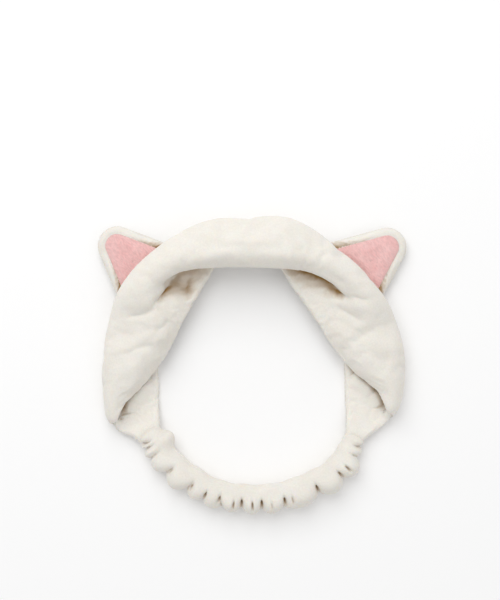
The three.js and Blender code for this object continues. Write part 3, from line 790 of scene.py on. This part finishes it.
def earPieces(ear):
    side, rows, count = ear["side"], ear["rows"], ear["count"]
    wall = ("SOLIDIFY", {"thickness": earShape["wall"] * mm, "offset": -1})
    fine = ("SUBSURF", {"levels": 1, "render_levels": 1})
    made = []
    for part, grid, tip, flip in (("Front", ear["front"], ear["tips"][0], False),
                                  ("Back", ear["back"], ear["tips"][1], True)):
        points = np.vstack([grid.reshape(-1, 3), tip])
        normals = earNormals(grid, -1 if flip else 1)
        # painted shade from how deep each point lies among the band's and the ear's folds
        paintedShade = paintedShadeDepths(points, normals, [(bandOuterSkin, False), (grid, True)])
        piece = makePiece(f"{side}Ear{part}Panel", points, discFaces(rows, count, flip), fleece, paintedShade)
        finishMesh(piece, fine, wall)
        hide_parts(f"{side}_ear_{part.lower()}_panel")
        made.append(piece)
    # stuffing between the panels
    core = (ear["front"] + ear["back"]) / 2
    upper = core + (ear["front"] - core) * 0.5
    lower = core + (ear["back"] - core) * 0.5
    points = np.vstack([upper[3:].reshape(-1, 3), ear["tips"][0] * 0.75 + ear["tips"][1] * 0.25,
                        lower[3:].reshape(-1, 3), ear["tips"][1] * 0.75 + ear["tips"][0] * 0.25])
    stuffing = makePiece(f"{side}EarStuffing", points, doubleDiscFaces(rows - 3, count), wadding)
    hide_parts(f"{side}_ear_stuffing")
    made.append(stuffing)
    # pink plush patch, sewn into the groove and standing a little over it
    first = ear["patchRow"]
    grid = ear["front"][first:]
    normal = -normalsOf(np.concatenate([grid, grid[:, :1]], axis=1))[:, :-1]
    rise = np.array([0.1, 0.75, 1.0] + [1.05] * (len(grid) - 3))
    raised = grid + normal * rise[:, None, None]
    sunk = grid - normal * 0.25
    tip = ear["tips"][0]
    points = np.vstack([raised.reshape(-1, 3), tip + (0, 0, 1.05), sunk.reshape(-1, 3), tip - (0, 0, 0.25)])
    patch = makePiece(f"{side}EarInnerPatch", points, doubleDiscFaces(len(grid), count), plush)
    finishMesh(patch, fine)
    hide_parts(f"{side}_ear_inner_patch")
    made.append(patch)
    # stitches
    rimPath = ear["front"][0][:ear["rimCount"] + 1] + (0, 0, 0.1)
    patchPath = grid[0][:ear["rimCount"] + 1] + normal[0][:ear["rimCount"] + 1] * 0.15
    across = np.linspace(-27, 27, 30)
    along = earShape["baseCut"] + earShape["baseHollow"] * (1 - (across / earShape["baseHalf"]) ** 2) - 0.4
    basePath = toWorld(side, np.stack([across, along, np.full(30, 0.5)], axis=1))
    for name, path, node, recipe, seed in (
            ("RimSeam", rimPath, "rim_seam", {"pitch": 2.4, "stitch": 2.0, "thread": 0.55}, 11),
            ("PatchStitching", patchPath, "patch_stitching",
             {"pitch": 2.2, "stitch": 1.9, "thread": 0.6, "slant": 38}, 12),
            ("BaseSeam", basePath, "base_seam",
             {"pitch": 3.4, "stitch": 2.9, "thread": 0.8, "slant": 25}, 13)):
        made.append(sewRow(f"{side}Ear{name}", path, f"{side}_ear_{node}", recipe, seed))
    for piece in made:
        blendEar(piece)


for earSide in ("left", "right"):
    earPieces(makeEar(earSide))
print("ears made")


# gathered casing and elastic

casingShape = {
    "along": 440, "round": 44, "outerRadius": 10.7, "innerRadius": 9.2, "leftEnd": 9.3, "rightEnd": 7.9,
    "lobe": 5.2, "lobeBase": 2.1, "lobeRound": 0.85, "foldDeep": 0.6, "foldWide": 1.6,
    "slitDeep": 3.8, "slitWide": 0.8, "slitTurn": 58, "slitSpread": 19, "capLength": 4.5, "lowest": 0.4,
    "seamUp": -7.2, "seamOut": -6.2, "wall": 1.3, "paintedShadeTint": 0.62, "flat": (0.066, 0.280),
}
casingPath = [(-76.4, -52.2, 8), (-73.8, -55.4, 8), (-69.5, -60.5, 8.4), (-63.5, -68.5, 9.8),
              (-52, -79.8, 10.4), (-33, -91, 10.5), (-11.3, -98.2, 10.5), (12.8, -97.8, 10.5),
              (36.8, -92.5, 10.5), (55, -84, 10.4), (67.5, -73.2, 9.8), (73.4, -65, 8.4), (75.8, -59.6, 8), (77.4, -55.8, 8)]
# Gathers: where each crease starts at the outside, where it runs out on top, how deep it is
casingCreases = [
    ((-84, -58), (-73, -55), 0.7), ((-82, -65), (-74, -60), 0.5), ((-78.8, -72.8), (-70, -67), 0.9),
    ((-67.9, -83.7), (-60, -77.8), 0.9), ((-51.2, -95.7), (-45.5, -90), 1.0),
    ((-37.5, -101.6), (-34, -96), 0.9), ((-21.2, -105.8), (-23.5, -99), 0.9),
    ((-7.5, -108.8), (-7.1, -102), 1.1), ((7.5, -106), (7.7, -100), 1.1), ((23.6, -103.5), (24.8, -97), 1.15),
    ((51.8, -96.3), (48.4, -88.5), 1.15), ((70.9, -86.1), (66, -81), 0.6),
    ((80.5, -69.4), (75.5, -67.5), 1.0), ((82, -60), (77, -60), 0.8),
]
# Short deep folds between the gathers, where they show on top
casingSlits = [
    ((-12.8, -101.7), 1.0), ((0.9, -101.4), 1.2), ((15.3, -101.3), 0.6), ((30.8, -97), 0.7),
    ((-45.2, -92.1), 0.8), ((-34.5, -97.4), 0.6), ((72, -77.2), 1.2), ((67.3, -81.5), 0.8),
    ((-76, -60.5), 0.3), ((-59, -78), 0.5),
    ((-7.1, -103.2), 1.0), ((8.1, -101.4), 1.1), ((24.8, -98.8), 1.2), ((-24.2, -99.6), 0.8),
    ((49.4, -90.4), 1.2),
]
# Puffs of loose cloth: place, how far they stand out, length along and spread round the casing
casingPuffs = [((-66, -57), 6.8, 0.035, 150, 46), ((-76, -66), 1.2, 0.03, 20, 60),
               ((-42, -84), 0.9, 0.05, 150, 50), ((76, -66), 1.0, 0.03, 150, 50),
               ((48, -86), 0.8, 0.05, 120, 50)]


def casingFrames(shares):
    centre = splineEvenly(casingPath, shares)
    ahead = splineEvenly(casingPath, np.minimum(shares + 0.002, 1))
    behind = splineEvenly(casingPath, np.maximum(shares - 0.002, 0))
    tangent = ahead - behind
    tangent /= np.linalg.norm(tangent, axis=1, keepdims=True)
    outwards = np.stack([tangent[:, 1], -tangent[:, 0], np.zeros(len(shares))], axis=1)
    outwards /= np.linalg.norm(outwards, axis=1, keepdims=True)
    up = np.cross(outwards, tangent)
    up *= np.sign(up[:, 2:])
    return centre, outwards, up, tangent


def nearestShare(centre, spot):
    return np.linalg.norm(centre[:, :2] - np.array(spot), axis=1).argmin() / (len(centre) - 1)


def casingReach(centre, shares, theta):
    # distance of the cloth from the middle line at one angle round the casing
    shape = casingShape
    length = lengthAlong(centre)[-1]
    outer = float(smooth(-abs(theta + 20), -125, -70))         # where the gathers stand out
    lean = float(smooth(theta, 0, 75)) if theta >= 0 else -0.5 * float(smooth(-theta, 0, 120))
    creases = [(nearestShare(centre, a), nearestShare(centre, b), deep) for a, b, deep in casingCreases]
    lines = np.array([start + (end - start) * lean for start, end, _ in creases])
    order = np.argsort(lines)
    lines, depths = lines[order], np.array([deep for _, _, deep in creases])[order]
    edges = np.concatenate([[lines[0] - 0.06], lines, [lines[-1] + 0.06]])
    cell = np.clip(np.searchsorted(edges, shares) - 1, 0, len(edges) - 2)
    low, high = edges[cell], edges[cell + 1]
    inside = np.clip((shares - low) / np.maximum(high - low, 1e-6), 0, 1)
    size = np.clip((high - low) * length / 15, 0.5, 1.15)
    bulge = np.sin(np.pi * inside) ** shape["lobeRound"] * size * shape["lobe"]
    near = np.abs(shares[:, None] - lines[None]) * length
    fold = (np.exp(-(near / shape["foldWide"]) ** 2) * depths[None]).max(1)
    side = 0.5 + 0.5 * math.cos(math.radians(theta))
    body = shape["innerRadius"] + (shape["outerRadius"] - shape["innerRadius"]) * side
    radius = body + (shape["leftEnd"] - body) * (1 - smooth(shares, 0, 0.08))
    radius = radius + (shape["rightEnd"] - radius) * (1 - smooth(1 - shares, 0, 0.09))
    reach = radius + (bulge - shape["lobeBase"] - shape["foldDeep"] * fold) * outer
    for spot, deep in casingSlits:
        aside = (shares - nearestShare(centre, spot)) * length
        slit = np.exp(-(aside / shape["slitWide"]) ** 2)
        slit = slit * math.exp(-((theta - shape["slitTurn"]) / shape["slitSpread"]) ** 2)
        reach = reach - shape["slitDeep"] * deep * slit
    for spot, stand, wide, turn, spread in casingPuffs:
        reach = reach + stand * np.exp(-((shares - nearestShare(centre, spot)) / wide) ** 2
                                       - ((theta - turn) / spread) ** 2)
    return reach


def tubeFaces(rows, count):
    # a closed tube with a flat face over each end
    ends = [list(range(count))[::-1], [(rows - 1) * count + at for at in range(count)]]
    return gridFaces(rows, count, closed=True) + ends


def makeCasing():
    rows, count = casingShape["along"], casingShape["round"]
    shares = np.linspace(0, 1, rows + 1)
    centre, outwards, up, tangent = casingFrames(shares)
    angles = np.arange(count) / count * 2 * np.pi
    grid = np.zeros((rows + 1, count, 3))
    for column, angle in enumerate(angles):
        theta = (math.degrees(angle) + 180) % 360 - 180        # 0 outwards, 90 up, -90 down
        reach = casingReach(centre, shares, theta)
        grid[:, column] = centre + (outwards * math.cos(angle) + up * math.sin(angle)) * reach[:, None]
    loose = smooth(np.minimum(shares, 1 - shares), 0, 0.1)
    wander = np.sin(shares * 61 + 1.3) * 0.35 + np.sin(shares * 23 + 0.4) * 0.5
    grid += (outwards * (wander * loose)[:, None])[:, None, :]
    # both ends are gathered in and sewn shut round the band
    caps = np.array([0.3, 0.6, 0.82, 0.95])
    shrink, step = np.sqrt(1 - caps ** 2), caps * casingShape["capLength"]
    first = [centre[0] + (grid[0] - centre[0]) * k - tangent[0] * d for k, d in zip(shrink, step)][::-1]
    final = [centre[-1] + (grid[-1] - centre[-1]) * k + tangent[-1] * d for k, d in zip(shrink, step)]
    grid = np.concatenate([np.array(first), grid, np.array(final)])
    grid[..., 2] = np.maximum(grid[..., 2], casingShape["lowest"])
    normal = normalsOf(np.concatenate([grid, grid[:, :1]], axis=1))[:, :-1].reshape(-1, 3)
    away = grid - grid.mean(1, keepdims=True)
    normal *= np.sign((normal.reshape(grid.shape) * away).sum()) or 1
    # painted shade from how deep each point lies in the gathers and beside the band, made weaker on the
    # casing
    paintedShade = paintedShadeDepths(grid.reshape(-1, 3), normal, [(bandOuterSkin, False), (grid, True)])
    paintedShade *= casingShape["paintedShadeTint"]
    faces = [face[::-1] for face in tubeFaces(len(grid), count)]
    piece = makePiece("elasticCasing", grid, faces, fleece, paintedShade)
    finishMesh(piece, ("SOLIDIFY", {"thickness": casingShape["wall"] * mm, "offset": -1}))
    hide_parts("elastic_casing")
    return piece, centre, outwards, up


def blendBack(piece):
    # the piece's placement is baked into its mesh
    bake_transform(piece)


casingPiece, casingCentre, casingOut, casingUp = makeCasing()
blendBack(casingPiece)
print("casing made")


def makeElastic():
    reach, half, thick = slice(6, -6, 3), 4.5, 0.5
    centre, outwards, up = casingCentre[reach], casingOut[reach], casingUp[reach]
    corners = [(-half, thick), (-half / 3, thick), (half / 3, thick), (half, thick),
               (half, -thick), (half / 3, -thick), (-half / 3, -thick), (-half, -thick)]
    grid = np.stack([centre + outwards * a + up * b for a, b in corners], axis=1)
    rows, count = grid.shape[:2]
    piece = makePiece("elasticStrip", grid, tubeFaces(rows, count), elastic)
    layer = piece.data.uv_layers.new(name="alongStrip")
    length = lengthAlong(centre)
    for loop in piece.data.loops:
        row, corner = divmod(loop.vertex_index, count)
        layer.data[loop.index].uv = (length[row], corners[corner][0])
    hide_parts("elastic_strip")
    return piece


elasticPiece = makeElastic()
blendBack(elasticPiece)


# seams of the band and of the casing

bandSeam = {"pitch": 3.4, "stitch": 2.8, "thread": 0.6}
casingSeam = {"pitch": 3.0, "stitch": 2.5, "thread": 0.6}
endSeam = {"pitch": 2.6, "stitch": 2.2, "thread": 0.7, "slant": 60}
backSeam = sewRow("bandBackEdgeSeam", bandOuterSkin[:, 0], "band_back_edge_seam", bandSeam, 21)
frontSeam = sewRow("bandFrontEdgeSeam", bandOuterSkin[:, -1], "band_front_edge_seam", bandSeam, 22)
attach(backSeam, "band")
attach(frontSeam, "band")

sewn = slice(20, -20)
seamPath = casingCentre[sewn] + casingUp[sewn] * casingShape["seamUp"]
seamPath = seamPath + casingOut[sewn] * casingShape["seamOut"]
blendBack(sewRow("casingLengthwiseSeam", seamPath, "casing_lengthwise_seam", casingSeam, 23))


def endStitches(side, row):
    # a row of stitches across each end of the band, where the casing is sewn on
    across = bandOuterSkin[row, 6:-6]
    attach(sewRow(f"{side}EndStitches", across, f"{side}_end_stitches", endSeam, 24), "band")


endStitches("left", 2)
endStitches("right", -3)
print("stitches made")


# table, light and camera

def makeStage():
    table = bpy.data.materials.new("mattWhitePaper")
    table.use_nodes = True
    shader = table.node_tree.nodes["Principled BSDF"]
    shader.inputs["Base Color"].default_value = hexToLinear("#FCFCFC")
    shader.inputs["Roughness"].default_value = 0.9
    shader.inputs["Specular IOR Level"].default_value = 0.1
    reach = 6000
    corners = [(-reach, -reach, 0), (reach, -reach, 0), (reach, reach, 0), (-reach, reach, 0)]
    makePiece("table", corners, [[0, 1, 2, 3]], table)
    for name, place, size, power in (("keyLight", (-0.4, 1.1, 1.55), 1.6, 18.5),
                                     ("fillLight", (0.6, -0.3, 1.8), 2.0, 3.2)):
        light = bpy.data.lights.new(name, "AREA")
        light.size, light.energy, light.color = size, power, (1, 1, 1)
        holder = bpy.data.objects.new(name, light)
        holder.location = place
        holder.rotation_euler = (-Vector(place)).to_track_quat("-Z", "Y").to_euler()
        bpy.context.scene.collection.objects.link(holder)
    world = bpy.data.worlds.new("softRoom")
    world.use_nodes = True
    sky = world.node_tree.nodes["Background"]
    sky.inputs["Color"].default_value = hexToLinear("#FFFFFF")
    sky.inputs["Strength"].default_value = 0.62
    bpy.context.scene.world = world
    bpy.context.scene.view_settings.view_transform = "Standard"


makeStage()
camera = bpy.data.cameras.new("camera")
camera.lens = 85
cameraHolder = bpy.data.objects.new("camera", camera)
cameraHolder.location = (-0.00075, 0.0495, 1.077)      # straight above
bpy.context.scene.collection.objects.link(cameraHolder)
bpy.context.scene.camera = cameraHolder
